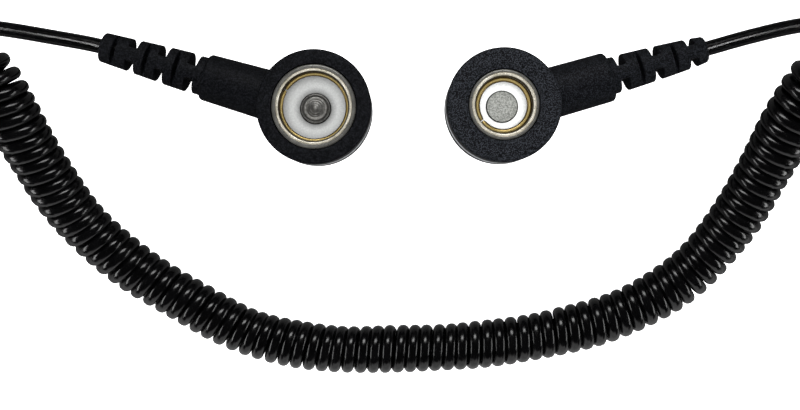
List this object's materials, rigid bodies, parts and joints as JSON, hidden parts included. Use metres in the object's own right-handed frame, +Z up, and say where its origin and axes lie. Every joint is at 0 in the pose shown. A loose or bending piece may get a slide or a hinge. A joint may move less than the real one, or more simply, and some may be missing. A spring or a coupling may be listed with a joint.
{
  "type": "coiled grounding cord",
  "caption": "Black coiled grounding cord bent into a U, with a moulded press-stud socket head and a slotted strain-relief boot on each tail.",
  "frame": {"origin": "on the bench under the middle of the whole cord's box", "axes": "+X towards the end with the smaller socket, +Y from the coil towards the heads, +Z up, the way the sockets face"},
  "size_m": [0.1752, 0.0578, 0.0272],
  "materials": {
    "moulding": "matte, fine grain, moulded",
    "jacket": "glossy polyurethane",
    "nickel": "plated, lightly worn",
    "spring": "drawn wire",
    "rivet": "plated, lightly worn",
    "tin": "tinned",
    "copper": "bare stranded copper",
    "resistor": "lacquered"
  },
  "bodies": {
    "coil_centre": {"coil_centre": "jacket"},
    "left_coil_1": {"left_coil_1": "jacket"},
    "left_coil_2": {"left_coil_2": "jacket"},
    "left_coil_3": {"left_coil_3": "jacket"},
    "left_coil_4": {"left_coil_4": "jacket"},
    "left_coil_5": {"left_coil_5": "jacket", "left_tail_outer_jacket": "jacket", "left_tail_outer_conductor": "copper"},
    "left_tail": {"left_tail_inner_jacket": "jacket", "left_tail_inner_conductor": "copper", "left_boot_end": "moulding"},
    "left_boot_b": {"left_boot_b": "moulding"},
    "left_boot_a": {"left_boot_a": "moulding"},
    "left_connector": {"left_head_moulding": "moulding", "left_socket_shell": "nickel", "left_spring_ring": "spring", "left_rivet": "rivet", "left_terminal_tab": "tin", "left_front_lead": "tin", "left_resistor": "resistor", "left_rear_lead": "tin", "left_ferrule": "tin", "left_conductor_end": "copper", "left_boot_root": "moulding"},
    "right_coil_1": {"right_coil_1": "jacket"},
    "right_coil_2": {"right_coil_2": "jacket"},
    "right_coil_3": {"right_coil_3": "jacket"},
    "right_coil_4": {"right_coil_4": "jacket"},
    "right_coil_5": {"right_coil_5": "jacket", "right_tail_outer_jacket": "jacket", "right_tail_outer_conductor": "copper"},
    "right_tail": {"right_tail_inner_jacket": "jacket", "right_tail_inner_conductor": "copper", "right_boot_end": "moulding"},
    "right_boot_b": {"right_boot_b": "moulding"},
    "right_boot_a": {"right_boot_a": "moulding"},
    "right_connector": {"right_head_moulding": "moulding", "right_socket_shell": "nickel", "right_spring_ring": "spring", "right_rivet": "rivet", "right_terminal_tab": "tin", "right_front_lead": "tin", "right_resistor": "resistor", "right_rear_lead": "tin", "right_ferrule": "tin", "right_conductor_end": "copper", "right_boot_root": "moulding"}
  },
  "joints": [
    {"name": "left_stretch_1", "type": "slide", "parent": "coil_centre", "child": "left_coil_1", "axis": [-0.9948, 0.1021, 0], "range_m": [0, 0.04]},
    {"name": "left_coil_bend_1", "type": "hinge", "parent": "left_coil_1", "child": "left_coil_2", "pos_m": [-0.0237, -0.02286, 0.00381], "axis": [0, 0, 1], "range_deg": [-4, 15]},
    {"name": "left_stretch_2", "type": "slide", "parent": "left_coil_2", "child": "left_coil_3", "axis": [-0.8544, 0.5082, 0.108], "range_m": [0, 0.04]},
    {"name": "left_coil_bend_2", "type": "hinge", "parent": "left_coil_3", "child": "left_coil_4", "pos_m": [-0.04466, -0.01013, 0.00672], "axis": [0, 0, 1], "range_deg": [-4, 15]},
    {"name": "left_stretch_3", "type": "slide", "parent": "left_coil_4", "child": "left_coil_5", "axis": [-0.3725, 0.7931, 0.4819], "range_m": [0, 0.04]},
    {"name": "left_tail_bend", "type": "hinge", "parent": "left_coil_5", "child": "left_tail", "pos_m": [-0.0864, 0.01851, 0.00949], "axis": [0, 0, 1], "range_deg": [-8, 12]},
    {"name": "left_boot_flex_1", "type": "hinge", "parent": "left_tail", "child": "left_boot_b", "pos_m": [-0.04268, 0.02181, 0.0044], "axis": [0, 0, -1], "range_deg": [-12, 12]},
    {"name": "left_boot_flex_2", "type": "hinge", "parent": "left_boot_b", "child": "left_boot_a", "pos_m": [-0.03798, 0.02044, 0.0044], "axis": [0, 0, -1], "range_deg": [-12, 12]},
    {"name": "left_boot_flex_3", "type": "hinge", "parent": "left_boot_a", "child": "left_connector", "pos_m": [-0.03322, 0.01905, 0.0044], "axis": [0, 0, -1], "range_deg": [-12, 12]},
    {"name": "right_stretch_1", "type": "slide", "parent": "coil_centre", "child": "right_coil_1", "axis": [0.9952, 0.0976, 0], "range_m": [0, 0.04]},
    {"name": "right_coil_bend_1", "type": "hinge", "parent": "right_coil_1", "child": "right_coil_2", "pos_m": [0.02381, -0.02296, 0.00382], "axis": [0, 0, -1], "range_deg": [-4, 15]},
    {"name": "right_stretch_2", "type": "slide", "parent": "right_coil_2", "child": "right_coil_3", "axis": [0.909, 0.4056, 0.096], "range_m": [0, 0.04]},
    {"name": "right_coil_bend_2", "type": "hinge", "parent": "right_coil_3", "child": "right_coil_4", "pos_m": [0.04592, -0.01283, 0.0063], "axis": [0, 0, -1], "range_deg": [-4, 15]},
    {"name": "right_stretch_3", "type": "slide", "parent": "right_coil_4", "child": "right_coil_5", "axis": [0.3438, 0.8278, 0.4432], "range_m": [0, 0.04]},
    {"name": "right_tail_bend", "type": "hinge", "parent": "right_coil_5", "child": "right_tail", "pos_m": [0.0864, 0.01851, 0.00789], "axis": [0, 0, -1], "range_deg": [-8, 12]},
    {"name": "right_boot_flex_1", "type": "hinge", "parent": "right_tail", "child": "right_boot_b", "pos_m": [0.04664, 0.02225, 0.0044], "axis": [0, 0, 1], "range_deg": [-12, 12]},
    {"name": "right_boot_flex_2", "type": "hinge", "parent": "right_boot_b", "child": "right_boot_a", "pos_m": [0.04091, 0.02062, 0.0044], "axis": [0, 0, 1], "range_deg": [-12, 12]},
    {"name": "right_boot_flex_3", "type": "hinge", "parent": "right_boot_a", "child": "right_connector", "pos_m": [0.03543, 0.01905, 0.0044], "axis": [0, 0, 1], "range_deg": [-12, 12]}
  ],
  "couplings": [
    {"joint": "left_stretch_2", "follows": "left_stretch_1", "ratio": 1},
    {"joint": "left_coil_bend_2", "follows": "left_coil_bend_1", "ratio": 1},
    {"joint": "left_stretch_3", "follows": "left_stretch_1", "ratio": 1},
    {"joint": "left_boot_flex_2", "follows": "left_boot_flex_1", "ratio": 1},
    {"joint": "left_boot_flex_3", "follows": "left_boot_flex_1", "ratio": 1},
    {"joint": "right_stretch_1", "follows": "left_stretch_1", "ratio": 1},
    {"joint": "right_stretch_2", "follows": "left_stretch_1", "ratio": 1},
    {"joint": "right_coil_bend_2", "follows": "right_coil_bend_1", "ratio": 1},
    {"joint": "right_stretch_3", "follows": "left_stretch_1", "ratio": 1},
    {"joint": "right_boot_flex_2", "follows": "right_boot_flex_1", "ratio": 1},
    {"joint": "right_boot_flex_3", "follows": "right_boot_flex_1", "ratio": 1}
  ]
}
